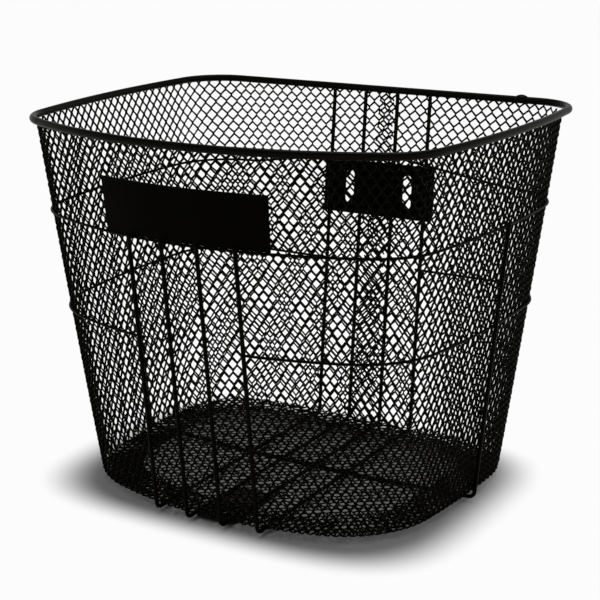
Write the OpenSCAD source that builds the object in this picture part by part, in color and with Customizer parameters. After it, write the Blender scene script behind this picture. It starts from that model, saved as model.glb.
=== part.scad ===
// Front basket for a bicycle: expanded-metal sheet on a welded wire frame.
// X runs across the basket, the front faces -Y, Z is up and the basket stands on Z = 0.

/* [Basket shape] */
// Width of the mouth between the rim's centre lines
rim_width = 350; // [280:1:420]
// Depth of the mouth between the rim's centre lines, front to back
rim_depth = 290; // [250:1:340]
// Height from the fold at the base to the rim's centre line
wall_height = 274; // [220:1:320]
// How far the rim's centre line stands out from the middle of the sheet
rim_overhang = 2.7; // [1.5:0.1:3.4]
// How far every wall draws in from its top to the base
wall_draw = 27.8; // [15:0.1:32]
// Radius of the bowed front at the rim
front_bow = 315; // [260:1:500]
// Radius of the slightly bowed sides at the rim
side_bow = 695; // [500:5:1200]
// How far behind the middle the basket is widest
widest_back = 44; // [10:1:60]
// Radius of the two front corners at the rim
rim_front_corner = 45; // [30:1:60]
// Radius of the two back corners at the rim
rim_back_corner = 36; // [25:1:60]
// Radius of the sheet's two back corners just under the rim
sheet_back_corner = 44; // [36:1:60]
// Radius of the two front corners at the base
base_front_corner = 76; // [50:1:85]
// Radius of the two back corners at the base
base_back_corner = 59; // [45:1:66]

/* [Rods and wires] */
// Diameter of the rim's rod
rim_rod = 5.5; // [4:0.5:8]
// Diameter of the wire of the hoops
hoop_wire = 2; // [1.5:0.5:4]
// Diameter of the wire of the stays
stay_wire = 3; // [2:0.5:5]
// How far the upper hoop lies below the rim's centre line
upper_hoop_drop = 68; // [55:1:90]
// How far the upper hoop climbs from its back corners to its middle
upper_hoop_climb = 15; // [6:1:22]
// Radius of the bends at the top of that climb
upper_hoop_bend = 20; // [10:1:60]
// Height of the two lower hoops above the fold
lower_hoop_height = 132; // [60:1:150]
// Spacing of the four stays that run under the base from front to back
stay_pitch = 29; // [22:0.5:34]
// Radius of the stays' bends at the base, on the centre line
stay_bend = 5; // [4:0.5:5]
// How far behind the middle the cross stay lies
cross_stay_back = 18; // [-30:1:40]
// How far past the outer stays the cross stay dips under them
cross_stay_dip = 15; // [8:1:40]
// Radius of the cross stay's gentle bends where it dips
cross_stay_bend = 100; // [60:5:200]
// How far a hoop's end runs past the stay that it is welded to
hoop_overrun = 3; // [2:0.5:8]
// How far the front stays and the cross stay rise past the upper hoop's centre line
stay_overrun = 2; // [1:0.5:4]

/* [Rim joint] */
// How far in from the right back corner the weld of the rim's butt joint lies
joint_place = 13.8; // [8:0.2:80]
// Length of the weld bead
joint_length = 9; // [6:0.5:14]
// Height of the weld bead over the rod
joint_rise = 1.3; // [0.8:0.1:2]
// How far round the rod the weld bead goes
joint_wrap = 230; // [120:5:250]

/* [Expanded metal] */
// Width of a diamond cell, along the wall
cell_width = 8.7; // [8:0.1:14]
// Height of a diamond cell, up the wall
cell_height = 11.5; // [10:0.1:18]
// Width of a strand
strand_width = 1.4; // [1:0.1:2.2]
// Thickness of the sheet
sheet_thickness = 1.2; // [0.8:0.1:2]
// How far the wall sheet's folded lower edge reaches in under the base
flange_width = 30; // [12:1:31]

/* [Plates] */
// Width of the plain plate on the front, along its curve
name_plate_width = 134; // [80:1:150]
// Height of the plain plate on the front
name_plate_height = 39; // [25:1:45]
// Thickness of the plain plate on the front
name_plate_thickness = 1; // [0.6:0.1:2]
// Width of the bracket plate on the back
bracket_width = 100; // [92:1:130]
// Height of the bracket plate on the back
bracket_height = 44; // [36:1:60]
// Thickness of the bracket plate
bracket_thickness = 2; // [1.5:0.1:4]
// Radius of the bracket plate's corners
bracket_corner = 3; // [1:0.5:8]
// How far down the wall the bracket plate's middle lies from the upper hoop
bracket_drop = 13; // [-5:1:40]
// Distance between the two bolt slots
slot_pitch = 53; // [40:1:68]
// Width of a bolt slot
slot_width = 8.5; // [6.5:0.5:10.5]
// Length of a bolt slot, end to end
slot_length = 28; // [20:1:32]
// Length of the base plate that lies under the two middle stays, front to back
base_plate_length = 57; // [45:1:90]
// Thickness of the base plate
base_plate_thickness = 2; // [1:0.1:2]
// Radius of the base plate's corners
base_plate_corner = 3; // [1:0.5:8]
// How far the base plate's front edge lies behind the fold at the front
base_plate_setback = 8; // [6:1:40]
// Diameter of the base plate's bolt hole
base_hole = 10; // [6:0.5:12]
// How far the bolt hole's middle lies behind the base plate's front edge
base_hole_setback = 14; // [11:1:30]

/* [Hidden] */

paint = "#1c1c1d";
$fn = 48;

// Clearance between pieces that are welded to each other
weld_gap = 0.1;
// Gap between the two layers of strands, and at the ends of a straight length of strand
layer_gap = 0.06;
strand_trim = 0.2;
// Sleeve over the end of a bend in a rod
sleeve_rise = 0.02;
sleeve_length = 0.5;
// Straight lengths that follow the front's half, a front corner, a side and a back corner
lengths_per_arc = [3, 3, 3, 3];

// Distances out from the middle of the sheet: hoops lie on the sheet, stays on the hoops
hoop_out = sheet_thickness / 2 + weld_gap + hoop_wire / 2;
stay_inner = hoop_out + hoop_wire / 2 + weld_gap;
stay_out = stay_inner + stay_wire / 2;
bracket_out = stay_inner + stay_wire + weld_gap;
name_plate_out = sheet_thickness / 2 + weld_gap;

// Heights: the cross stay's middle stands on the ground, then the stays, the fold and the base sheet
cross_stay_z = stay_wire / 2;
stay_z = cross_stay_z + stay_wire + weld_gap;
fold_z = stay_z + stay_wire / 2 + weld_gap + sheet_thickness / 2;
base_z = fold_z + sheet_thickness + weld_gap;
rim_z = fold_z + wall_height;
fold_clear = sheet_thickness / 2 + weld_gap;
mesh_top_z = rim_z - rim_rod / 2 - weld_gap - strand_width / 2;

wall_slope = atan(wall_draw / wall_height);
upper_hoop_height = wall_height - upper_hoop_drop;
upper_level = upper_hoop_height / wall_height;
lower_level = lower_hoop_height / wall_height;

// The back stays end under the rim, and may stand out past it
stay_top_z = rim_z - rim_rod / 2 - 2 * weld_gap;
stay_reach = stay_out + stay_wire / 2 - rim_overhang - wall_draw * (1 - (stay_top_z - fold_z) / wall_height);
middle_y = -max(0, stay_reach - rim_rod / 2) / 2;
stay_places = [for (i = [-1.5, -0.5, 0.5, 1.5]) i * stay_pitch];

function mix(a, b, t) = a + (b - a) * t;
function unit(v) = v / norm(v);
function heading(v) = atan2(v.y, v.x);
function level(z) = (z - fold_z) / wall_height;
function sum_to(list, i) = i < 0 ? 0 : list[i] + sum_to(list, i - 1);

// The lower of the two points at distances rp from p and rq from q
function lower_meeting(p, rp, q, rq) =
    let (d = norm(q - p), u = (q - p) / d, along = (rp * rp - rq * rq + d * d) / (2 * d))
    p + u * along + [-u.y, u.x] * sqrt(rp * rp - along * along);

// Right half of an outline that lies a given distance inside the rim's centre line.
// Four tangent arcs, front to back: bowed front, front corner, bowed side, back corner.
// Each is [centre, radius, first angle, last angle]; the back itself is straight.
function plan(inset, corner_f, corner_b) =
    let (
        front_r = front_bow - inset,
        side_r = side_bow - inset,
        front_c = [0, middle_y - rim_depth / 2 + front_bow],
        side_c = [rim_width / 2 - side_bow, middle_y + widest_back],
        corner_f_c = lower_meeting(front_c, front_r - corner_f, side_c, side_r - corner_f),
        corner_b_y = middle_y + rim_depth / 2 - inset - corner_b,
        reach = sqrt(pow(side_r - corner_b, 2) - pow(corner_b_y - side_c.y, 2)),
        corner_b_c = [side_c.x + reach, corner_b_y],
        a1 = heading(corner_f_c - front_c),
        a2 = heading(corner_f_c - side_c),
        a3 = heading(corner_b_c - side_c)
    )
    [[front_c, front_r, -90, a1], [corner_f_c, corner_f, a1, a2],
     [side_c, side_r, a2, a3], [corner_b_c, corner_b, a3, 90]];

// The rim's centre line, and the middle of the sheet at a level from 0 at the fold to 1 at the rim
rim_plan = plan(0, rim_front_corner, rim_back_corner);
function arcs(t) = plan(
    rim_overhang + wall_draw * (1 - t),
    mix(base_front_corner, rim_front_corner - rim_overhang, t),
    mix(base_back_corner, sheet_back_corner, t));

// Places on the walls, a given distance out from the middle of the sheet
function back_y(t, out = 0) = middle_y + rim_depth / 2 - rim_overhang - wall_draw * (1 - t) + out;
function front_y(x, t, out = 0) = let (a = arcs(t)[0]) a[0].y - sqrt(pow(a[1] + out, 2) - x * x);
function side_x(y, t, out = 0) = let (a = arcs(t)[2]) a[0].x + sqrt(pow(a[1] + out, 2) - pow(y - a[0].y, 2));

// Corners of the outline drawn with straight lengths, counter-clockwise from the front's middle
function half_loop(t, out) =
    let (list = arcs(t))
    [for (i = [0 : len(list) - 1], j = [0 : lengths_per_arc[i] - (i < len(list) - 1 ? 1 : 0)])
        let (a = list[i], angle = mix(a[2], a[3], j / lengths_per_arc[i]))
        a[0] + (a[1] + out) * [cos(angle), sin(angle)]];
function loop(z, out = 0, t = undef) =
    let (right = half_loop(is_undef(t) ? level(z) : t, out), n = len(right))
    [for (p = right) [p.x, p.y, z], for (i = [n - 1 : -1 : 1]) [-right[i].x, right[i].y, z]];

// A straight length of strand: a three-sided bar whose flat side faces the other layer
function bar(p, q, out) =
    let (
        along = unit(q - p),
        side = unit(cross(out, along)) * strand_width / 2,
        near = out * layer_gap / 2,
        far = out * sheet_thickness / 2,
        a = p + along * strand_trim,
        b = q - along * strand_trim
    )
    [a + side + near, a - side + near, a + far, b + side + near, b - side + near, b + far];

module strands(bars) {
    sides = [[0, 2, 1], [3, 4, 5], [0, 1, 4, 3], [1, 2, 5, 4], [2, 0, 3, 5]];
    polyhedron(
        points = [for (b = bars) each b],
        faces = [for (i = [0 : len(bars) - 1], s = sides) [for (v = s) v + 6 * i]]);
}

// How many cells fit round the wall and up a band of sheet, and each corner's place in cells
wall_loops = [loop(fold_z + fold_clear), loop(mesh_top_z)];
corner_steps =
    let (mid = (wall_loops[0] + wall_loops[1]) / 2, n = len(mid))
    [for (i = [0 : n - 1]) norm(mid[(i + 1) % n] - mid[i])];
wall_girth = sum_to(corner_steps, len(corner_steps) - 1);
cells_round = round(wall_girth / cell_width);
corner_cells = [for (i = [-1 : len(corner_steps) - 1]) sum_to(corner_steps, i) / wall_girth * cells_round];

// Strands of a band of sheet between two loops, leaning one way (lean 1) or the other (lean -1)
function band(low, high, lean) =
    let (n = len(low), rows = norm(high[0] - low[0]) / cell_height)
    [for (j = [0 : n - 1])
        let (
            k = (j + 1) % n,
            u0 = corner_cells[j],
            u1 = corner_cells[j + 1],
            out = lean * unit(cross(low[k] - low[j], high[j] - low[j])),
            first = ceil(u0 - (lean > 0 ? rows : 0)),
            last = floor(u1 + (lean > 0 ? 0 : rows))
        )
        for (start = [first : last])
            let (
                v0 = lean * (u0 - start) / rows,
                v1 = lean * (u1 - start) / rows,
                from = max(0, min(v0, v1)),
                to = min(1, max(v0, v1)),
                ends = [for (v = [from, to])
                    let (f = (start + lean * rows * v - u0) / (u1 - u0))
                    mix(mix(low[j], low[k], f), mix(high[j], high[k], f), v)]
            )
            if (to > from && norm(ends[1] - ends[0]) > strand_width) bar(ends[0], ends[1], out)];

// Strands of the flat base sheet inside a loop, each cut where it meets the loop's edges
function sheet_bars(edge, lean) =
    let (
        n = len(edge),
        along = unit([cell_height, lean * cell_width, 0]),
        reach = ceil((rim_width + rim_depth) / cell_height)
    )
    [for (i = [-reach : reach])
        let (
            p = [i * cell_height, 0, edge[0].z],
            hits = [for (j = [0 : n - 1])
                let (e = edge[(j + 1) % n] - edge[j], out = [e.y, -e.x, 0])
                [out * along, out * (edge[j] - p)]],
            to = min([for (h = hits) if (h[0] > 0) h[1] / h[0]]),
            from = max([for (h = hits) if (h[0] < 0) h[1] / h[0]])
        )
        if (to - from > cell_width) bar(p + along * from, p + along * to, [0, 0, lean])];

module rod_arc(arc, out, rod) {
    translate(arc[0])
        rotate(arc[2])
            rotate_extrude(angle = arc[3] - arc[2])
                translate([arc[1] + out, 0])
                    circle(d = rod);
}

// A bend with a hair-thick sleeve over each end, which makes the next length one piece with it
module rod_bend(arc, out, rod) {
    rod_arc(arc, out, rod);
    translate(arc[0])
        for (angle = [arc[2], arc[3]])
            rotate(angle)
                translate([arc[1] + out, 0])
                    rotate([90, 0, 0])
                        cylinder(d = rod + 2 * sleeve_rise, h = sleeve_length, center = true);
}

// The right side of a ring of rod round the basket, with its front and back corners
module ring_side(list, out, rod) {
    rod_bend(list[1], out, rod);
    rod_arc(list[2], out, rod);
    rod_bend(list[3], out, rod);
}

// The straight back of a ring of rod, from X = start to the end of the right back corner
module ring_back(list, out, rod, start) {
    corner = list[3];
    translate([start, corner[0].y + corner[1] + out, 0])
        rotate([0, 90, 0])
            cylinder(d = rod, h = corner[0].x - start);
}

// A closed ring of rod at height z, round an outline
module ring(list, z, out, rod) {
    front = list[0];
    translate([0, 0, z]) {
        rod_arc([front[0], front[1], -180 - front[3], front[3]], out, rod);
        for (side = [0, 1])
            mirror([side, 0, 0])
                ring_side(list, out, rod);
        ring_back(list, out, rod, -list[3][0].x);
    }
}

// The right lower hoop, from the outer stay at the front round to the same stay at the back
module lower_hoop() {
    list = arcs(lower_level);
    front = list[0];
    start = stay_places[3] - hoop_overrun;
    translate([0, 0, fold_z + lower_hoop_height]) {
        rod_arc([front[0], front[1], asin(start / (front[1] + hoop_out)) - 90, front[3]], hoop_out, hoop_wire);
        ring_side(list, hoop_out, hoop_wire);
        ring_back(list, hoop_out, hoop_wire, start);
    }
}

// A wire in the XY plane along a path that turns left at each inner corner, each with its own bend
module bent_wire(path, bends, wire) {
    n = len(path);
    turn = [for (i = [1 : n - 2]) heading(path[i + 1] - path[i]) - heading(path[i] - path[i - 1])];
    cut = [0, for (i = [0 : n - 3]) bends[i] * tan(turn[i] / 2), 0];
    for (i = [0 : n - 2]) {
        angle = heading(path[i + 1] - path[i]);
        translate(path[i] + unit(path[i + 1] - path[i]) * cut[i])
            rotate(angle)
                rotate([0, 90, 0])
                    cylinder(d = wire, h = norm(path[i + 1] - path[i]) - cut[i] - cut[i + 1]);
    }
    for (i = [1 : n - 2]) {
        angle = heading(path[i] - path[i - 1]);
        bend = bends[i - 1];
        centre = path[i] - unit(path[i] - path[i - 1]) * cut[i] + bend * [-sin(angle), cos(angle)];
        rod_bend([centre, bend, angle - 90, angle - 90 + turn[i - 1]], 0, wire);
    }
}

// Where a leg that passes through two points reaches height z
function on_leg(low, high, z) = [mix(low.x, high.x, (z - low.y) / (high.y - low.y)), z];

// A stay from the upper hoop at the front, under the base and up the back to the rim
module stay(x) {
    front = [for (t = [0, upper_level]) [front_y(x, t, stay_out), fold_z + t * wall_height]];
    back = [for (t = [0, 1]) [back_y(t, stay_out), fold_z + t * wall_height]];
    path = [
        on_leg(front[0], front[1], front[1].y + stay_overrun),
        on_leg(front[0], front[1], stay_z),
        on_leg(back[0], back[1], stay_z),
        on_leg(back[0], back[1], stay_top_z)];
    translate([x, 0, 0])
        rotate([90, 0, 90])
            bent_wire(path, [stay_bend, stay_bend], stay_wire);
}

module rim() {
    color(paint)
        ring(rim_plan, rim_z, 0, rim_rod);
}

module rim_joint() {
    inner = rim_rod / 2 + weld_gap;
    bulge = (pow(joint_length / 2, 2) + joint_rise * joint_rise) / (2 * joint_rise);
    color(paint)
        translate([rim_plan[3][0].x - joint_place, middle_y + rim_depth / 2, rim_z])
            rotate([0, 90, 0])
                rotate(180 - joint_wrap / 2)
                    rotate_extrude(angle = joint_wrap)
                        intersection() {
                            translate([inner + joint_rise - bulge, 0])
                                circle(bulge);
                            translate([inner, -joint_length / 2])
                                square([joint_rise, joint_length]);
                        }
}

module wall_mesh() {
    color(paint)
        strands([for (lean = [1, -1]) each band(wall_loops[0], wall_loops[1], lean)]);
}

module base_flange() {
    outer = loop(fold_z, -fold_clear, 0);
    inner = loop(fold_z, -flange_width, 0);
    color(paint)
        strands([for (lean = [1, -1]) each band(outer, inner, lean)]);
}

module base_mesh() {
    edge = loop(base_z, -sheet_thickness, 0);
    color(paint)
        strands([for (lean = [1, -1]) each sheet_bars(edge, lean)]);
}

// The upper hoop: level round the front and the sides, and up to the two middle stays at the back
module upper_hoop() {
    list = arcs(upper_level);
    front = list[0];
    corner = list[3];
    top = [stay_places[2], -upper_hoop_climb / cos(wall_slope)];
    climb = heading([corner[0].x, 0] - top);
    end = [corner[0].x, 0] + hoop_wire * tan(climb / 2) * [cos(climb), sin(climb)];
    color(paint)
        translate([0, 0, fold_z + upper_hoop_height]) {
            rod_arc([front[0], front[1], -180 - front[3], front[3]], hoop_out, hoop_wire);
            for (side = [0, 1])
                mirror([side, 0, 0])
                    ring_side(list, hoop_out, hoop_wire);
            translate([0, corner[0].y + corner[1] + hoop_out, 0])
                rotate([-wall_slope - 90, 0, 0])
                    bent_wire(
                        [[-end.x, end.y], [-top.x, top.y], top, end], [upper_hoop_bend, upper_hoop_bend],
                        hoop_wire);
        }
}

module lower_hoop_left() {
    color(paint)
        mirror([1, 0, 0])
            lower_hoop();
}

module lower_hoop_right() {
    color(paint)
        lower_hoop();
}

module stay_1() {
    color(paint)
        stay(stay_places[0]);
}

module stay_2() {
    color(paint)
        stay(stay_places[1]);
}

module stay_3() {
    color(paint)
        stay(stay_places[2]);
}

module stay_4() {
    color(paint)
        stay(stay_places[3]);
}

// The stay from side to side: it lies on the base sheet's edges and dips under the four long stays
module cross_stay() {
    y = middle_y + cross_stay_back;
    leg = [for (t = [0, upper_level]) [side_x(y, t, stay_out), fold_z + t * wall_height]];
    top = on_leg(leg[0], leg[1], leg[1].y + stay_overrun);
    foot = on_leg(leg[0], leg[1], stay_z);
    dip = [stay_places[3] + cross_stay_dip, cross_stay_z];
    right = [dip, foot, top];
    left = [for (i = [2 : -1 : 0]) [-right[i].x, right[i].y]];
    color(paint)
        translate([0, y, 0])
            rotate([90, 0, 0])
                bent_wire(
                    concat(left, right), [stay_bend, cross_stay_bend, cross_stay_bend, stay_bend], stay_wire);
}

// A plain curved plate that stands on the upper hoop at the front
module name_plate() {
    low = fold_z + upper_hoop_height + hoop_wire / 2 + weld_gap;
    high = low + name_plate_height * cos(wall_slope);
    axis = arcs(1)[0][0];
    radius = [for (z = [low, high]) arcs(level(z))[0][1] + name_plate_out];
    half_angle = name_plate_width / 2 / radius[0] * 180 / PI;
    color(paint)
        translate(axis)
            rotate(-90 - half_angle)
                rotate_extrude(angle = 2 * half_angle)
                    polygon([
                        [radius[0], low],
                        [radius[0] + name_plate_thickness, low],
                        [radius[1] + name_plate_thickness, high],
                        [radius[1], high]]);
}

module rounded_plate(w, h, r) {
    square([w - 2 * r, h], center = true);
    square([w, h - 2 * r], center = true);
    for (x = [-1, 1], y = [-1, 1])
        translate([x * (w / 2 - r), y * (h / 2 - r)])
            circle(r);
}

module slot_hole() {
    straight = slot_length - slot_width;
    square([slot_width, straight], center = true);
    for (y = [-1, 1])
        translate([0, y * straight / 2])
            circle(d = slot_width);
}

// The plate on the back that bolts to the bicycle's carrier, flat on the four stays
module bracket_plate() {
    up_wall = upper_hoop_height / cos(wall_slope) - bracket_drop;
    color(paint)
        translate([0, back_y(0), fold_z])
            rotate([-wall_slope, 0, 0])
                translate([0, bracket_out + bracket_thickness, up_wall])
                    rotate([90, 0, 0])
                        linear_extrude(bracket_thickness)
                            difference() {
                                rounded_plate(bracket_width, bracket_height, bracket_corner);
                                for (x = [-1, 1])
                                    translate([x * slot_pitch / 2, 0])
                                        slot_hole();
                            }
}

// The plate under the base that bolts to the carrier, flat under the two middle stays
module base_plate() {
    low = stay_z - stay_wire / 2 - weld_gap - base_plate_thickness;
    front = front_y(0, 0) + base_plate_setback;
    color(paint)
        translate([0, front + base_plate_length / 2, low])
            linear_extrude(base_plate_thickness)
                difference() {
                    rounded_plate(stay_pitch + stay_wire, base_plate_length, base_plate_corner);
                    translate([0, base_hole_setback - base_plate_length / 2])
                        circle(d = base_hole);
                }
}

rim();
rim_joint();
wall_mesh();
base_flange();
base_mesh();
upper_hoop();
lower_hoop_left();
lower_hoop_right();
stay_1();
stay_2();
stay_3();
stay_4();
cross_stay();
name_plate();
bracket_plate();
base_plate();
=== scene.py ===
"""Looks of a bicycle's front basket: expanded steel sheet on a welded wire frame, painted black."""

import math

import bmesh
import bpy
from bpy.props import FloatProperty, FloatVectorProperty, PointerProperty
from mathutils import Matrix, Vector


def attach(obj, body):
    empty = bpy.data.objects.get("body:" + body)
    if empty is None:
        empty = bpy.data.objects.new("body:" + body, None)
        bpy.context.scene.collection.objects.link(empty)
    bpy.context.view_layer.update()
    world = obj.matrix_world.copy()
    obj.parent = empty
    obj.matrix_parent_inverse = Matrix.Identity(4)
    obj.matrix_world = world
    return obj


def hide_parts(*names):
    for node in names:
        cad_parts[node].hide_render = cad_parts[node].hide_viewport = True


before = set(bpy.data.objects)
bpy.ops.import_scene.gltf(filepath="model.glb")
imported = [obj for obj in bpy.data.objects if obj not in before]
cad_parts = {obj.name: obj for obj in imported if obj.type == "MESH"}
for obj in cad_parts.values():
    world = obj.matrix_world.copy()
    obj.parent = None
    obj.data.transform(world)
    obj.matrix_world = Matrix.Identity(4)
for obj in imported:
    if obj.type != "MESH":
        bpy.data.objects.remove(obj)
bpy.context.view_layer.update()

bl_info = {
    "name": "Wire basket",
    "version": (1, 0, 0),
    "blender": (4, 5, 0),
    "location": "View3D > Sidebar > Basket",
    "description": "Dresses the solids of a bicycle's front basket",
    "category": "Object",
}

RIM_NODES = ("rim", "rim_joint")
WIRE_NODES = (
    "upper_hoop",
    "lower_hoop_left",
    "lower_hoop_right",
    "stay_1",
    "stay_2",
    "stay_3",
    "stay_4",
    "cross_stay",
)
PLATE_NODES = ("name_plate", "bracket_plate")
BASE_NODES = ("base_plate",)


def length(label, words, default):
    """A size in metres that a user may change."""
    return FloatProperty(name=label, description=words, default=default, unit="LENGTH")


def share(label, words, default):
    """A plain number between nothing and one."""
    return FloatProperty(name=label, description=words, default=default, min=0.0, max=1.0)


def number(label, words, default):
    """A plain number."""
    return FloatProperty(name=label, description=words, default=default)


def tilt(label, words, degrees):
    """An angle, given in degrees."""
    return FloatProperty(
        name=label, description=words, default=math.radians(degrees), subtype="ANGLE"
    )


def location(label, words, default):
    """A place in space, in metres."""
    return FloatVectorProperty(
        name=label, description=words, default=default, subtype="TRANSLATION", unit="LENGTH"
    )


def colour(label, words, default):
    """A colour without alpha."""
    return FloatVectorProperty(
        name=label, description=words, default=default, size=3, subtype="COLOR", min=0.0, max=1.0
    )


class BasketShape(bpy.types.PropertyGroup):
    """The basket's plan and height, as in the solids."""

    rim_width: length("Rim width", "Width of the mouth between the rod's centre lines", 0.350)
    rim_depth: length("Rim depth", "Depth of the mouth between the rod's centre lines", 0.290)
    wall_height: length("Wall height", "From the fold at the base to the rim's centre line", 0.274)
    overhang: length("Overhang", "How far the rim's centre line stands out from the sheet", 0.0027)
    draw: length("Draw", "How far every wall draws in from its top to the base", 0.0278)
    front_bow: length("Front bow", "Radius of the front at the rim", 0.315)
    side_bow: length("Side bow", "Radius of the sides at the rim", 0.695)
    widest_back: length("Widest place", "How far behind the middle the basket is widest", 0.044)
    rim_front_corner: length("Front corners, rim", "Radius of the front corners at the rim", 0.045)
    sheet_back_corner: length("Back corners, top", "Radius of the sheet's back corners at its top", 0.044)
    base_front_corner: length("Front corners, base", "Radius of the front corners at the base", 0.076)
    base_back_corner: length("Back corners, base", "Radius of the back corners at the base", 0.059)
    middle_y: length("Middle", "Where the middle of the mouth lies, front to back", -0.000025)
    fold_z: length("Fold", "Height of the fold at the base", 0.0068)
    base_z: length("Base", "Height of the base sheet", 0.0081)


class BasketSheet(bpy.types.PropertyGroup):
    """The expanded metal and how it was bent."""

    cell_width: length("Cell width", "Mean width of the wall's cells at half its height", 0.0077)
    cell_height: length("Cell height", "Height of a cell and of the bond above it", 0.01115)
    base_cell: length("Base cell", "Width of the base sheet's cells", 0.0065)
    base_twist: length("Base twist", "How far the base sheet's strands stand out of it", 0.0003)
    base_turn: tilt("Base turn", "How far askew the base sheet was cut", 5.4)
    uneven: share("Uneven pull", "How much wider the cells are on the slack side", 0.105)
    slack: length("Slack side", "Where along the wall the cells are widest", -0.345)
    drawn: number("Drawn cells", "How much taller the cells get towards the fold, per metre", 0.54)
    bond: length("Bond", "Height of the bond where two strands join", 0.0015)
    strand: length("Strand", "Width of a strand", 0.00098)
    thickness: length("Thickness", "Thickness of the steel", 0.00095)
    twist: length("Twist", "How far a strand's edges stand out of the sheet", 0.0008)
    top_gap: length("Top gap", "From the rim's centre line down to the sheet's edge", 0.0019)
    flange: length("Flange", "How far the folded edge reaches in under the base", 0.030)
    fold_radius: length("Fold radius", "Radius of the fold", 0.0017)
    roll: share("Roll", "Share of the walls' draw that was cut into the flat sheet", 0.12)
    lap_edge: length("Lap edge", "Where the outer end of the sheet lies on the back", 0.0122)
    lap_top: length("Lap at the rim", "How far the sheet's ends overlap at the rim", 0.0105)
    lap_fold: length("Lap at the fold", "How far the sheet's ends overlap at the fold", 0.0245)
    lap_step: length("Lap step", "How far the inner end of the sheet steps in", 0.0009)


class BasketPaint(bpy.types.PropertyGroup):
    """The black paint on rods, sheet and plates, and a lighter grey on the base plate that paints the
    light it catches from above.
    """

    rim_black: colour("Rim", "Colour of the rim", (0.0030, 0.0026, 0.0012))
    wire_black: colour("Wires", "Colour of the hoops and stays", (0.0026, 0.0022, 0.0008))
    sheet_black: colour("Sheet", "Colour of the expanded sheet", (0.0026, 0.0022, 0.0008))
    plate_black: colour("Plates", "Colour of the plates on the walls", (0.0019, 0.0016, 0.0004))
    # Lighter grey than the other plates: painted light, for the light that the plate under the base
    # catches from above
    base_grey_painted_light: colour("Base plate", "Colour of the plate under the base", (0.026, 0.0245, 0.020))
    dust: colour("Dust", "Colour of the dust that lies on the paint", (0.007, 0.0068, 0.0064))


class BasketStudio(bpy.types.PropertyGroup):
    """Camera, lamps and floor."""

    eye: location("Camera", "Where the camera stands", (0.5715, -0.9240, 0.4546))
    target: location("Target", "What the camera looks at", (-0.01952, 0.04812, 0.12497))
    lens: number("Lens", "Focal length in millimetres on a 36 mm sensor", 89.9)
    roll: tilt("Roll", "How far the camera is turned about its line of sight", -0.44)
    # Dark grey: painted shade on the floor under the base, deeper than the basket's own shadow
    floor: colour("Floor", "Colour of the floor under the base", (0.29, 0.29, 0.29))
    clear: share("Clear floor", "How white the floor is where it runs on into the backdrop", 0.97)
    # Half sizes of the floor's painted shade under the base
    shade_width: length("Shade width", "Half the width of the floor under the base", 0.145)
    shade_depth: length("Shade depth", "Half the depth of the floor under the base", 0.115)
    ceiling: colour("Ceiling", "Colour of the ceiling that the paint reflects", (0.12, 0.12, 0.12))
    world: number("World", "Strength of the even light", 0.4)
    key: number("Key lamp", "Power of the large lamp overhead", 15.0)
    side: number("Side lamp", "Power of the lamp at the right", 4.2)


class BasketSettings(bpy.types.PropertyGroup):
    """Everything that a user may change."""

    shape: PointerProperty(type=BasketShape)
    sheet: PointerProperty(type=BasketSheet)
    paint: PointerProperty(type=BasketPaint)
    studio: PointerProperty(type=BasketStudio)


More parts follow.
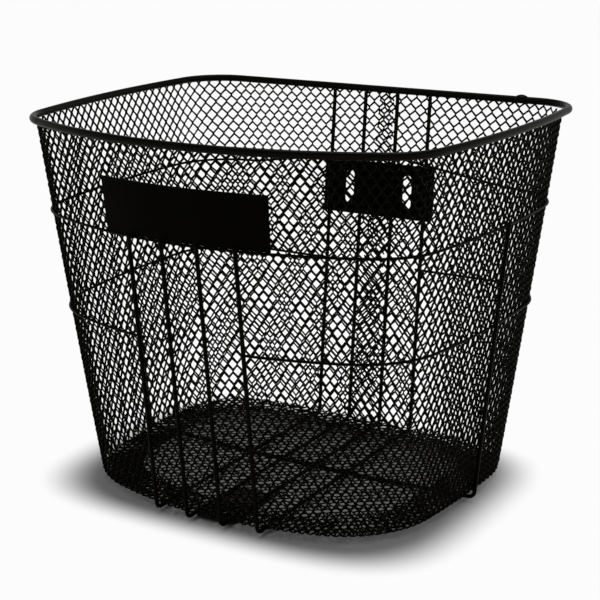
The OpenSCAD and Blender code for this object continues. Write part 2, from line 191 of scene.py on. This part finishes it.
class Wall:
    """Bends a flat sheet round the basket.

    A place on the flat sheet is (along, up, out). Along runs round the wall at half its height from
    the middle of the front, to the right where it is positive. Up runs up the wall from the fold,
    and below the fold inwards under the base. Out is the way to the outer side of the sheet.
    """

    # Steps of the laid-out middle line, and how far it runs in half girths
    STEPS = 1200
    RUN = 1.14
    # Tries at the nearest step of that line
    TRIES = 4
    # Share of the slant, from the fold, where a drawn cell keeps its height
    EVEN_SHARE = 0.6

    def __init__(self, shape, sheet):
        self.shape = shape
        self.sheet = sheet
        self.fold_radius = sheet.fold_radius
        self.slope = math.atan2(shape.draw, shape.wall_height)
        self.slant = math.hypot(shape.draw, shape.wall_height)
        self.turn = math.pi / 2 - self.slope
        self.reach = self.fold_radius * math.tan(self.turn / 2)
        self.half_arc = self.fold_radius * self.turn / 2
        self.half_girth = sum(self.lengths(self.arcs(0.5)))
        self.lay_out()

    def arcs(self, level):
        """The plan's right half at a level from 0 at the fold to 1 at the rim: four tangent arcs."""
        s = self.shape
        inset = s.overhang + s.draw * (1 - level)
        front_radius = s.front_bow - inset
        side_radius = s.side_bow - inset
        top_corner = s.rim_front_corner - s.overhang
        front_corner = s.base_front_corner + (top_corner - s.base_front_corner) * level
        back_corner = s.base_back_corner + (s.sheet_back_corner - s.base_back_corner) * level
        front = Vector((0.0, s.middle_y - s.rim_depth / 2 + s.front_bow))
        side = Vector((s.rim_width / 2 - s.side_bow, s.middle_y + s.widest_back))
        near, far = front_radius - front_corner, side_radius - front_corner
        apart = (side - front).length
        ahead = (side - front) / apart
        along = (near * near - far * far + apart * apart) / (2 * apart)
        across = math.sqrt(near * near - along * along)
        corner_f = front + ahead * along + Vector((-ahead.y, ahead.x)) * across
        corner_b_y = s.middle_y + s.rim_depth / 2 - inset - back_corner
        reach = math.sqrt((side_radius - back_corner) ** 2 - (corner_b_y - side.y) ** 2)
        corner_b = Vector((side.x + reach, corner_b_y))
        first = math.atan2(corner_f.y - front.y, corner_f.x - front.x)
        second = math.atan2(corner_f.y - side.y, corner_f.x - side.x)
        third = math.atan2(corner_b.y - side.y, corner_b.x - side.x)
        return (
            (front, front_radius, -math.pi / 2, first),
            (corner_f, front_corner, first, second),
            (side, side_radius, second, third),
            (corner_b, back_corner, third, math.pi / 2),
        )

    def lengths(self, arcs):
        """The lengths of the four arcs and of half the straight back."""
        return [radius * (last - first) for _, radius, first, last in arcs] + [arcs[-1][0].x]

    def station(self, along, arcs):
        """Which stretch of the right half a place lies on, and how far through it.

        The sheet is stretched evenly at every height, so a place keeps its share of the girth.
        """
        lengths = self.lengths(arcs)
        rest = abs(along) / self.half_girth * sum(lengths)
        for index, stretch in enumerate(lengths[:-1]):
            if rest <= stretch:
                return index, rest / stretch
            rest -= stretch
        return len(lengths) - 1, rest / lengths[-1]

    def plan(self, along, level, inset):
        """The point of the plan at a place along the wall, and the way that the wall faces there."""
        arcs = self.arcs(level)
        index, part = self.station(along, arcs)
        if index < len(arcs):
            centre, radius, first, last = arcs[index]
            angle = first + (last - first) * part
            facing = Vector((math.cos(angle), math.sin(angle)))
            spot = centre + facing * (radius - inset)
        else:
            centre, radius = arcs[-1][:2]
            facing = Vector((0.0, 1.0))
            spot = Vector((centre.x * (1 - part), centre.y + radius - inset))
        if along < 0:
            spot.x, facing.x = -spot.x, -facing.x
        return spot, facing

    def place(self, along, up, out):
        """Where a place on the flat sheet comes to lie in space."""
        half_arc = self.half_arc
        sine, cosine = math.sin(self.slope), math.cos(self.slope)
        if up >= half_arc:
            level = (self.reach + up - half_arc) / self.slant
            spot, facing = self.plan(along, level, 0.0)
            rise = level * self.shape.wall_height
            outwards, upwards = cosine, -sine
        elif up <= -half_arc:
            spot, facing = self.plan(along, 0.0, self.reach - up - half_arc)
            rise = 0.0
            outwards, upwards = 0.0, -1.0
        else:
            angle = self.slope + (half_arc - up) / self.fold_radius
            outwards, upwards = math.cos(angle), -math.sin(angle)
            inset = -self.reach * sine + self.fold_radius * (cosine - outwards)
            rise = self.reach * cosine + self.fold_radius * (sine + upwards)
            spot, facing = self.plan(along, 0.0, inset)
        height = self.shape.fold_z + rise + upwards * out
        return Vector((*(spot + facing * (outwards * out)), height))

    def heading(self, along):
        """How far the wall has turned from the front, in plan."""
        arcs = self.arcs(0.5)
        index, part = self.station(along, arcs)
        if index >= len(arcs):
            return math.pi
        first, last = arcs[index][2:]
        return first + (last - first) * part + math.pi / 2

    def lay_out(self):
        """The sheet's middle line as it was cut from flat stock: a gentle arc, ends down."""
        step = self.half_girth * self.RUN / self.STEPS
        spot = Vector((0.0, 0.0))
        self.line = []
        for i in range(self.STEPS + 1):
            angle = -self.sheet.roll * math.sin(self.slope) * self.heading(i * step)
            way = Vector((math.cos(angle), math.sin(angle)))
            self.line.append((spot.copy(), way))
            spot += way * step
        self.step = step

    def unroll(self, x, y):
        """The place along and up the wall of a point of the flat stock."""
        along = abs(x)
        for _ in range(self.TRIES):
            nearest = min(max(int(round(along / self.step)), 0), self.STEPS)
            spot, way = self.line[nearest]
            off = Vector((abs(x), y)) - spot
            along = nearest * self.step + off.dot(way)
        up = way.x * off.y - way.y * off.x
        return math.copysign(along, x), up + self.slant / 2

    def pull(self, along, up):
        """Where a place on the evenly wrapped sheet goes when the sheet is pulled into shape.

        The cells get wider on the slack side than across from it, and taller towards the fold.
        """
        sheet = self.sheet
        phase = math.pi / self.half_girth
        swing = math.sin((along - sheet.slack) * phase) + math.sin(sheet.slack * phase)
        along += sheet.uneven * swing / phase
        up += sheet.drawn * up * (self.EVEN_SHARE * self.slant - up / 2)
        return along, up


def expanded_net(sheet, cell_width, twist, half_width, half_height):
    """A flat net of expanded metal about the origin.

    A grid is joined into courses of bricks, the courses are pulled into zigzags so that every brick
    becomes a six-sided cell, and the lines between the cells are widened to strands. Each strand is
    twisted a little out of the sheet.
    """
    bm = bmesh.new()
    across, upright = cell_width / 2, sheet.cell_height / 2
    columns, rows = 2 * math.ceil(half_width / across), 2 * math.ceil(half_height / upright)
    spread = Matrix.Diagonal((columns * across / 2, rows * upright / 2, 1, 1))
    bmesh.ops.create_grid(
        bm, x_segments=columns, y_segments=rows, size=1, matrix=spread, calc_uvs=False
    )
    joints = []
    for edge in bm.edges:
        low, high = sorted(edge.verts, key=lambda vert: vert.co.y)
        level = abs(high.co.x - low.co.x) > across / 2
        if level or edge.is_boundary:
            continue
        if (round(low.co.x / across) + round(low.co.y / upright)) % 2:
            joints.append(edge)
    bmesh.ops.dissolve_edges(bm, edges=joints)
    pull = (upright - sheet.bond) / 2
    for vert in bm.verts:
        odd = (round(vert.co.x / across) + round(vert.co.y / upright)) % 2
        vert.co.y += -pull if odd else pull
    strands = bmesh.ops.bevel(
        bm, geom=list(bm.edges), offset=sheet.strand / 2, offset_type="OFFSET", affect="EDGES",
        segments=1, profile=0.5, material=-1,
    )
    kept = set(strands["faces"])
    cells = [face for face in bm.faces if face not in kept]
    for cell in cells:
        middle = cell.calc_center_median()
        for vert in cell.verts:
            vert.co.z -= twist * (vert.co.x - middle.x) / across
    bmesh.ops.delete(bm, geom=cells, context="FACES")
    return bm


def cut(bm, point, outside):
    """Cuts a flat net along a line and drops what lies beyond it."""
    everything = list(bm.verts) + list(bm.edges) + list(bm.faces)
    bmesh.ops.bisect_plane(
        bm, geom=everything, dist=1e-7, plane_co=point, plane_no=outside, clear_outer=True
    )


def thicken(bm, thickness):
    """Gives a flat net the thickness of the steel, half to each side."""
    bmesh.ops.recalc_face_normals(bm, faces=bm.faces)
    if sum(face.normal.z for face in bm.faces) < 0:
        bmesh.ops.reverse_faces(bm, faces=bm.faces)
    bmesh.ops.translate(bm, verts=bm.verts, vec=(0, 0, thickness / 2))
    bmesh.ops.solidify(bm, geom=list(bm.faces), thickness=thickness)


def finished(bm, name, nodes, material):
    """A bmesh as a piece that rides on the basket and stands for solids of it."""
    mesh = bpy.data.meshes.new(name)
    bm.to_mesh(mesh)
    bm.free()
    piece = bpy.data.objects.new(name, mesh)
    bpy.context.scene.collection.objects.link(piece)
    mesh.materials.append(material)
    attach(piece, "root")
    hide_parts(*nodes)
    return piece


class Value:
    """A shader socket in a sum: the operators add Math nodes."""

    def __init__(self, shader, socket):
        self.shader = shader
        self.socket = socket

    def math(self, operation, first, second):
        node = self.shader.node("ShaderNodeMath", {"operation": operation}, {0: first, 1: second})
        return self.shader.value(node, 0)

    def __add__(self, other):
        return self.math("ADD", self, other)

    def __radd__(self, other):
        return self.math("ADD", other, self)

    def __sub__(self, other):
        return self.math("SUBTRACT", self, other)

    def __mul__(self, other):
        return self.math("MULTIPLY", self, other)

    def __rmul__(self, other):
        return self.math("MULTIPLY", other, self)

    def __pow__(self, other):
        return self.math("POWER", self, other)


class Shader:
    """The nodes of a material or of the world."""

    def __init__(self, block):
        block.use_nodes = True
        self.tree = block.node_tree
        self.tree.nodes.clear()

    def node(self, kind, settings=None, inputs=None):
        """A node of a type, with its settings and then the values or links of its sockets."""
        node = self.tree.nodes.new(kind)
        for name, value in (settings or {}).items():
            setattr(node, name, value)
        for name, value in (inputs or {}).items():
            if isinstance(value, Value):
                self.tree.links.new(value.socket, node.inputs[name])
            else:
                node.inputs[name].default_value = value
        return node

    def value(self, node, output):
        """A node's output as a value that can be reckoned with."""
        return Value(self, node.outputs[output])


def noise(shader, place, scale, detail, roughness=0.5):
    """Soft noise of a given number of waves to the metre."""
    node = shader.node(
        "ShaderNodeTexNoise", {"noise_dimensions": "3D"},
        {"Vector": place, "Scale": scale, "Detail": detail, "Roughness": roughness},
    )
    return shader.value(node, "Fac")


def band(shader, value, low, high):
    """A value spread so that low becomes nothing and high becomes one."""
    node = shader.node(
        "ShaderNodeMapRange", {"clamp": True, "interpolation_type": "SMOOTHSTEP"},
        {"Value": value, "From Min": low, "From Max": high, "To Min": 0.0, "To Max": 1.0},
    )
    return shader.value(node, "Result")


def seen_directly(shader):
    """One for what the camera sees, also in a reflection or through glass, and nothing for light."""
    path = shader.node("ShaderNodeLightPath")
    camera = shader.value(path, "Is Camera Ray")
    glossy = shader.value(path, "Is Glossy Ray")
    through = shader.value(path, "Is Transmission Ray")
    return camera.math("MAXIMUM", camera.math("MAXIMUM", camera, glossy), through)


SPOTS = {
    "patches": {"scale": 45.0, "detail": 5.0, "roughness": 0.6, "low": 0.45, "high": 0.72},
    "specks": {"scale": 1400.0, "detail": 2.0, "roughness": 0.5, "low": 0.66, "high": 0.74},
    "scuffs": {"scale": 260.0, "detail": 4.0, "roughness": 0.7, "low": 0.66, "high": 0.80},
}
PEEL_DEPTH = 0.0002


def spots(shader, place, kind):
    """Scattered spots with soft edges."""
    look = SPOTS[kind]
    clouds = noise(shader, place, look["scale"], look["detail"], look["roughness"])
    return band(shader, clouds, look["low"], look["high"])


def black_paint(name, paint, dust, finish):
    """Sprayed black paint: fine orange peel, uneven gloss, and dust where the surface faces up."""
    material = bpy.data.materials.new(name)
    shader = Shader(material)
    place = shader.value(shader.node("ShaderNodeTexCoord"), "Object")
    facing = shader.node("ShaderNodeNewGeometry")
    split = shader.node("ShaderNodeSeparateXYZ", None, {"Vector": shader.value(facing, "Normal")})
    upward = band(shader, shader.value(split, "Z"), 0.1, 0.95)
    dusty = 0.35 * spots(shader, place, "patches") + 0.25 * spots(shader, place, "specks")
    lying = upward * dusty * finish["dust"]
    scuffs = spots(shader, place, "scuffs") * finish["scuffs"]
    mix = shader.node(
        "ShaderNodeMix", {"data_type": "RGBA"},
        {"Factor": lying + scuffs, 6: (*paint, 1.0), 7: (*dust, 1.0)},
    )
    peel = noise(shader, place, finish["peel_scale"], 3.0)
    grain = noise(shader, place, finish["peel_scale"] * 4.0, 2.0)
    bump = shader.node(
        "ShaderNodeBump", None,
        {"Strength": finish["peel"], "Distance": PEEL_DEPTH, "Height": peel + 0.35 * grain},
    )
    rough = finish["roughness"] + finish["uneven"] * (peel - 0.5) + 0.25 * (lying + scuffs)
    surface = shader.node(
        "ShaderNodeBsdfPrincipled", None,
        {
            "Base Color": shader.value(mix, 2),
            "Roughness": rough,
            "Normal": shader.value(bump, "Normal"),
            "Specular IOR Level": finish["specular"],
        },
    )
    shader.node("ShaderNodeOutputMaterial", None, {"Surface": shader.value(surface, 0)})
    return material


FINISHES = {
    "rim": {
        "roughness": 0.34, "uneven": 0.14, "specular": 0.036, "peel": 0.25, "peel_scale": 700.0,
        "dust": 0.5, "scuffs": 0.25,
    },
    "wire": {
        "roughness": 0.38, "uneven": 0.14, "specular": 0.018, "peel": 0.25, "peel_scale": 900.0,
        "dust": 0.5, "scuffs": 0.2,
    },
    "sheet": {
        "roughness": 0.42, "uneven": 0.16, "specular": 0.02, "peel": 0.30, "peel_scale": 900.0,
        "dust": 0.6, "scuffs": 0.2,
    },
    "plate": {
        "roughness": 0.45, "uneven": 0.14, "specular": 0.010, "peel": 0.25, "peel_scale": 800.0,
        "dust": 0.8, "scuffs": 0.12,
    },
}


def painted(nodes, material):
    """Gives solids that are shown as they are their paint."""
    for name in nodes:
        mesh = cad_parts[name].data
        mesh.materials.clear()
        mesh.materials.append(material)


class BASKET_OT_rods(bpy.types.Operator):
    """Paint the rim, the hoops and the stays"""

    bl_idname = "basket.rods"
    bl_label = "Paint the rods"

    def execute(self, context):
        paint = context.scene.basket.paint
        painted(RIM_NODES, black_paint("rim_paint", paint.rim_black, paint.dust, FINISHES["rim"]))
        painted(WIRE_NODES, black_paint("wire_paint", paint.wire_black, paint.dust, FINISHES["wire"]))
        return {"FINISHED"}


class BASKET_OT_plates(bpy.types.Operator):
    """Paint the plain front plate, the bracket plate and the base plate"""

    bl_idname = "basket.plates"
    bl_label = "Paint the plates"

    def execute(self, context):
        paint = context.scene.basket.paint
        finish = FINISHES["plate"]
        painted(PLATE_NODES, black_paint("plate_paint", paint.plate_black, paint.dust, finish))
        # The base plate's lighter grey is painted light, for the light that it catches from above
        painted(BASE_NODES, black_paint("base_paint_with_painted_light", paint.base_grey_painted_light, paint.dust, finish))
        return {"FINISHED"}


class BASKET_OT_sheets(bpy.types.Operator):
    """Bend the expanded metal of the wall and lay the base sheet on its flange"""

    bl_idname = "basket.sheets"
    bl_label = "Make the expanded sheets"

    # Flat stock beyond the cuts, at the ends and along the edges
    END_SPARE = 0.03
    EDGE_SPARE = 0.02
    # How far the step of the lap takes to form, along the wall and up from the fold
    STEP_RUN = 0.012
    STEP_RISE = 0.006
    # Straight cuts that make the base sheet's outline
    STATIONS = 72

    def execute(self, context):
        basket = context.scene.basket
        paint = basket.paint
        material = black_paint("sheet_paint", paint.sheet_black, paint.dust, FINISHES["sheet"])
        wall = Wall(basket.shape, basket.sheet)
        self.wall_sheet(wall, basket.sheet, material)
        self.flange_sheet(wall, basket.sheet, material)
        self.base_sheet(wall, basket.sheet, material)
        return {"FINISHED"}

    def flat_sheet(self, wall, sheet, low, high):
        """A length of the wall's flat net between two heights, cut off square at its outer end."""
        sag = wall.half_girth * sheet.roll * math.sin(wall.slope)
        spare = self.END_SPARE + 2 * sheet.uneven * wall.half_girth / math.pi
        half_height = wall.slant / 2 + sheet.flange + sag + self.EDGE_SPARE
        half_width = wall.half_girth + spare
        bm = expanded_net(sheet, sheet.cell_width, sheet.twist, half_width, half_height)
        for vert in bm.verts:
            vert.co.x, vert.co.y = wall.pull(*wall.unroll(vert.co.x, vert.co.y))
        cut(bm, (0, high, 0), (0, 1, 0))
        cut(bm, (0, low, 0), (0, -1, 0))
        cut(bm, (-wall.half_girth - sheet.lap_edge, 0, 0), (-1, 0, 0))
        return bm

    def wall_sheet(self, wall, sheet, material):
        """The wall and its fold, bent round until the sheet's ends overlap on the back."""
        top = wall.slant - sheet.top_gap / math.cos(wall.slope) - wall.reach + wall.half_arc
        bm = self.flat_sheet(wall, sheet, -wall.half_arc, top)
        lap_start = wall.half_girth - sheet.lap_edge
        slant = (top, sheet.lap_fold - sheet.lap_top, 0)
        cut(bm, (lap_start + sheet.lap_fold, 0, 0), slant)
        thicken(bm, sheet.thickness)
        for vert in bm.verts:
            along, up, out = vert.co
            part = min(max((along - lap_start) / self.STEP_RUN + 1, 0), 1)
            rise = min(max(up / self.STEP_RISE, 0), 1)
            out -= sheet.lap_step * part * part * (3 - 2 * part) * rise
            vert.co = wall.place(along, up, out)
        finished(bm, "wall_sheet", ("wall_mesh",), material)

    def flange_sheet(self, wall, sheet, material):
        """The edge of the same sheet, folded in flat under the base."""
        bm = self.flat_sheet(wall, sheet, -sheet.flange, -wall.half_arc)
        cut(bm, (wall.half_girth - sheet.lap_edge, 0, 0), (1, 0, 0))
        thicken(bm, sheet.thickness)
        for vert in bm.verts:
            vert.co = wall.place(*vert.co)
        finished(bm, "flange_sheet", ("base_flange",), material)

    def base_sheet(self, wall, sheet, material):
        """The flat base sheet, cut to the plan just inside the wall."""
        shape = wall.shape
        half_width = shape.rim_depth / 2 + self.EDGE_SPARE
        half_height = shape.rim_width / 2 + self.EDGE_SPARE
        bm = expanded_net(sheet, sheet.base_cell, sheet.base_twist, half_width, half_height)
        turn = Matrix.Rotation(sheet.base_turn - math.pi / 2, 3, "Z")
        bmesh.ops.rotate(bm, verts=bm.verts, cent=(0, 0, 0), matrix=turn)
        for i in range(self.STATIONS):
            along = (2 * i / self.STATIONS - 1) * wall.half_girth
            spot, facing = wall.plan(along, 0.0, sheet.thickness + wall.fold_radius / 2)
            cut(bm, (*spot, 0), (*facing, 0))
        thicken(bm, sheet.thickness)
        bmesh.ops.translate(bm, verts=bm.verts, vec=(0, 0, shape.base_z))
        finished(bm, "base_sheet", ("base_mesh",), material)


class BASKET_OT_stage(bpy.types.Operator):
    """Set the floor, the soft lamps and the camera"""

    bl_idname = "basket.stage"
    bl_label = "Set the stage"

    FLOOR_REACH = 30.0
    SENSOR_WIDTH = 36.0
    VIEW_REACH = 100.0
    # Where the floor's painted shade by the base starts and ends turning white, in half widths of the
    # shade
    SHADE_EDGE = (0.94, 1.26)
    # Where the backdrop starts and ends turning into the ceiling, as the rise of a direction
    CEILING_EDGE = (0.15, 0.60)

    def execute(self, context):
        studio = context.scene.basket.studio
        self.floor(studio)
        self.world(context.scene, studio)
        self.lamp("overhead", place=(-0.1, 0.3, 1.8), target=(0, 0, 0.1), size=1.2, power=studio.key)
        self.lamp("right", place=(1.8, 0.3, 0.8), target=(0, 0, 0.2), size=0.9, power=studio.side)
        self.camera(context.scene, studio)
        context.scene.view_settings.view_transform = "Standard"
        return {"FINISHED"}

    def floor(self, studio):
        """A wide floor, dark grey by the base to paint shade there on top of the basket's own shadow, and
        white to the camera beyond.
        """
        bm = bmesh.new()
        bmesh.ops.create_grid(bm, x_segments=1, y_segments=1, size=self.FLOOR_REACH)
        mesh = bpy.data.meshes.new("floor")
        bm.to_mesh(mesh)
        bm.free()
        piece = bpy.data.objects.new("floor", mesh)
        bpy.context.scene.collection.objects.link(piece)
        material = bpy.data.materials.new("floor")
        shader = Shader(material)
        # The floor's dark grey takes the basket's real shadow and adds painted shade under the base
        shadow_and_painted_shade = shader.node("ShaderNodeBsdfDiffuse", None, {"Color": (*studio.floor, 1.0)})
        white = shader.node("ShaderNodeEmission", None, {"Color": (1, 1, 1, 1), "Strength": 1.0})
        place = shader.value(shader.node("ShaderNodeTexCoord"), "Object")
        split = shader.node("ShaderNodeSeparateXYZ", None, {"Vector": place})
        across = shader.value(split, "X") * (1 / studio.shade_width)
        deep = shader.value(split, "Y") * (1 / studio.shade_depth)
        away = (across ** 4.0 + deep ** 4.0) ** 0.25
        clear = band(shader, away, *self.SHADE_EDGE)
        surface = shader.node(
            "ShaderNodeMixShader", None,
            {
                0: seen_directly(shader) * clear * studio.clear,
                1: shader.value(shadow_and_painted_shade, 0),
                2: shader.value(white, 0),
            },
        )
        shader.node("ShaderNodeOutputMaterial", None, {"Surface": shader.value(surface, 0)})
        mesh.materials.append(material)

    def world(self, scene, studio):
        """Even light, and past the floor a white backdrop that ends under a dim ceiling."""
        world = bpy.data.worlds.new("studio")
        scene.world = world
        shader = Shader(world)
        even = shader.node(
            "ShaderNodeBackground", None, {"Color": (1, 1, 1, 1), "Strength": studio.world}
        )
        direction = shader.value(shader.node("ShaderNodeTexCoord"), "Generated")
        height = shader.value(shader.node("ShaderNodeSeparateXYZ", None, {"Vector": direction}), "Z")
        above = band(shader, height, *self.CEILING_EDGE)
        sweep = shader.node(
            "ShaderNodeMix", {"data_type": "RGBA"},
            {"Factor": above, 6: (1, 1, 1, 1), 7: (*studio.ceiling, 1.0)},
        )
        white = shader.node(
            "ShaderNodeBackground", None, {"Color": shader.value(sweep, 2), "Strength": 1.0}
        )
        mix = shader.node(
            "ShaderNodeMixShader", None,
            {0: seen_directly(shader), 1: shader.value(even, 0), 2: shader.value(white, 0)},
        )
        shader.node("ShaderNodeOutputWorld", None, {"Surface": shader.value(mix, 0)})

    def lamp(self, name, place, target, size, power):
        """A square soft lamp that faces a point."""
        data = bpy.data.lights.new(name, "AREA")
        data.size = size
        data.energy = power
        lamp = bpy.data.objects.new(name, data)
        bpy.context.scene.collection.objects.link(lamp)
        lamp.location = place
        lamp.rotation_euler = (Vector(target) - Vector(place)).to_track_quat("-Z", "Y").to_euler()

    def camera(self, scene, studio):
        """The camera at the photograph's viewing angle."""
        data = bpy.data.cameras.new("camera")
        data.sensor_fit = "HORIZONTAL"
        data.sensor_width = self.SENSOR_WIDTH
        data.lens = studio.lens
        data.clip_end = self.VIEW_REACH
        camera = bpy.data.objects.new("camera", data)
        scene.collection.objects.link(camera)
        camera.location = studio.eye
        ahead = Vector(studio.target) - Vector(studio.eye)
        camera.rotation_euler = ahead.to_track_quat("-Z", "Y").to_euler()
        camera.rotation_euler.rotate_axis("Z", studio.roll)
        scene.camera = camera


class BASKET_PT_panel(bpy.types.Panel):
    """The steps that dress the basket, in order"""

    bl_idname = "BASKET_PT_panel"
    bl_label = "Wire basket"
    bl_space_type = "VIEW_3D"
    bl_region_type = "UI"
    bl_category = "Basket"

    def draw(self, context):
        for operator in OPERATORS:
            self.layout.operator(operator.bl_idname)
        basket = context.scene.basket
        for group in (basket.shape, basket.sheet, basket.paint, basket.studio):
            box = self.layout.box()
            for name in group.__annotations__:
                box.prop(group, name)


GROUPS = (BasketShape, BasketSheet, BasketPaint, BasketStudio, BasketSettings)
OPERATORS = (BASKET_OT_rods, BASKET_OT_plates, BASKET_OT_sheets, BASKET_OT_stage)
CLASSES = (*GROUPS, *OPERATORS, BASKET_PT_panel)


def register():
    for item in CLASSES:
        bpy.utils.register_class(item)
    bpy.types.Scene.basket = PointerProperty(type=BasketSettings)


def unregister():
    del bpy.types.Scene.basket
    for item in reversed(CLASSES):
        bpy.utils.unregister_class(item)


def main():
    register()
    bpy.ops.basket.rods()
    bpy.ops.basket.plates()
    bpy.ops.basket.sheets()
    bpy.ops.basket.stage()


if __name__ == "__main__":
    main()
